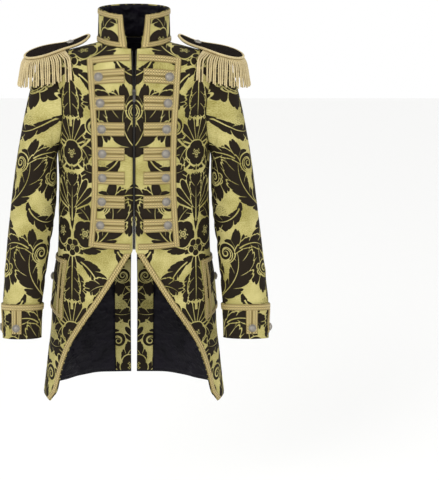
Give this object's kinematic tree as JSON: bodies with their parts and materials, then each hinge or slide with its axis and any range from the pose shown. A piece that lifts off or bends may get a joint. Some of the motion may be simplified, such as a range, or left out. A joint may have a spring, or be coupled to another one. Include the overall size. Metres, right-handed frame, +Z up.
{
  "type": "tailcoat",
  "caption": "Hollow brocade tailcoat with stand collar, braided breast, fringed epaulettes, turned cuffs and cutaway tails, filled out as worn.",
  "frame": {"origin": "middle of the neck, level with the inner ends of the shoulder seams, where the wearer carries the coat", "axes": "+X to the wearer's left, -Y to the front, +Z up"},
  "size_m": [0.669, 0.2954, 0.9845],
  "materials": {
    "brocade": "woven damask, gold-green ground with brown-black leaves",
    "gold_braid": "woven gold braid",
    "satin_lining": "black satin",
    "black_felt": "felt",
    "pale_cord": "twisted pale gold cord",
    "antique_silver": "antique silver",
    "zip_tape": "black woven tape with plastic teeth",
    "zip_metal": "black enamelled metal"
  },
  "bodies": {
    "coat": {"front_left": "brocade", "sleeve_left": "brocade", "cuff_left": "brocade", "pocket_flap_left": "brocade", "vent_facing_left": "brocade", "bib_braid_left": "gold_braid", "cutaway_braid_left": "gold_braid", "vent_braid_left": "gold_braid", "cuff_braid_left": "gold_braid", "pocket_braid_left": "gold_braid", "tail_lining_left": "satin_lining", "epaulette_board_left": "black_felt", "epaulette_cord_left": "pale_cord", "epaulette_fringe_left": "pale_cord", "cuff_button_front_left": "antique_silver", "cuff_button_side_left": "antique_silver", "vent_button_left": "antique_silver", "pocket_button_left": "antique_silver", "epaulette_button_left": "antique_silver", "breast_button_left_1": "antique_silver", "breast_button_left_2": "antique_silver", "breast_button_left_3": "antique_silver", "breast_button_left_4": "antique_silver", "breast_button_left_5": "antique_silver", "breast_button_left_6": "antique_silver", "breast_button_left_7": "antique_silver", "front_right": "brocade", "sleeve_right": "brocade", "cuff_right": "brocade", "pocket_flap_right": "brocade", "vent_facing_right": "brocade", "bib_braid_right": "gold_braid", "cutaway_braid_right": "gold_braid", "vent_braid_right": "gold_braid", "cuff_braid_right": "gold_braid", "pocket_braid_right": "gold_braid", "tail_lining_right": "satin_lining", "epaulette_board_right": "black_felt", "epaulette_cord_right": "pale_cord", "epaulette_fringe_right": "pale_cord", "cuff_button_front_right": "antique_silver", "cuff_button_side_right": "antique_silver", "vent_button_right": "antique_silver", "pocket_button_right": "antique_silver", "epaulette_button_right": "antique_silver", "breast_button_right_1": "antique_silver", "breast_button_right_2": "antique_silver", "breast_button_right_3": "antique_silver", "breast_button_right_4": "antique_silver", "breast_button_right_5": "antique_silver", "breast_button_right_6": "antique_silver", "breast_button_right_7": "antique_silver", "back": "brocade", "collar": "brocade", "collar_braid": "gold_braid", "neck_lining": "satin_lining", "zip": "zip_tape", "zip_slider": "zip_metal"},
    "pull_tab": {"zip_pull": "zip_metal"}
  },
  "joints": [
    {"name": "pull_tab_hinge", "type": "hinge", "parent": "coat", "child": "pull_tab", "pos_m": [0, -0.12299, -0.10937], "axis": [-1, 0, 0], "range_deg": [0, 160]}
  ]
}
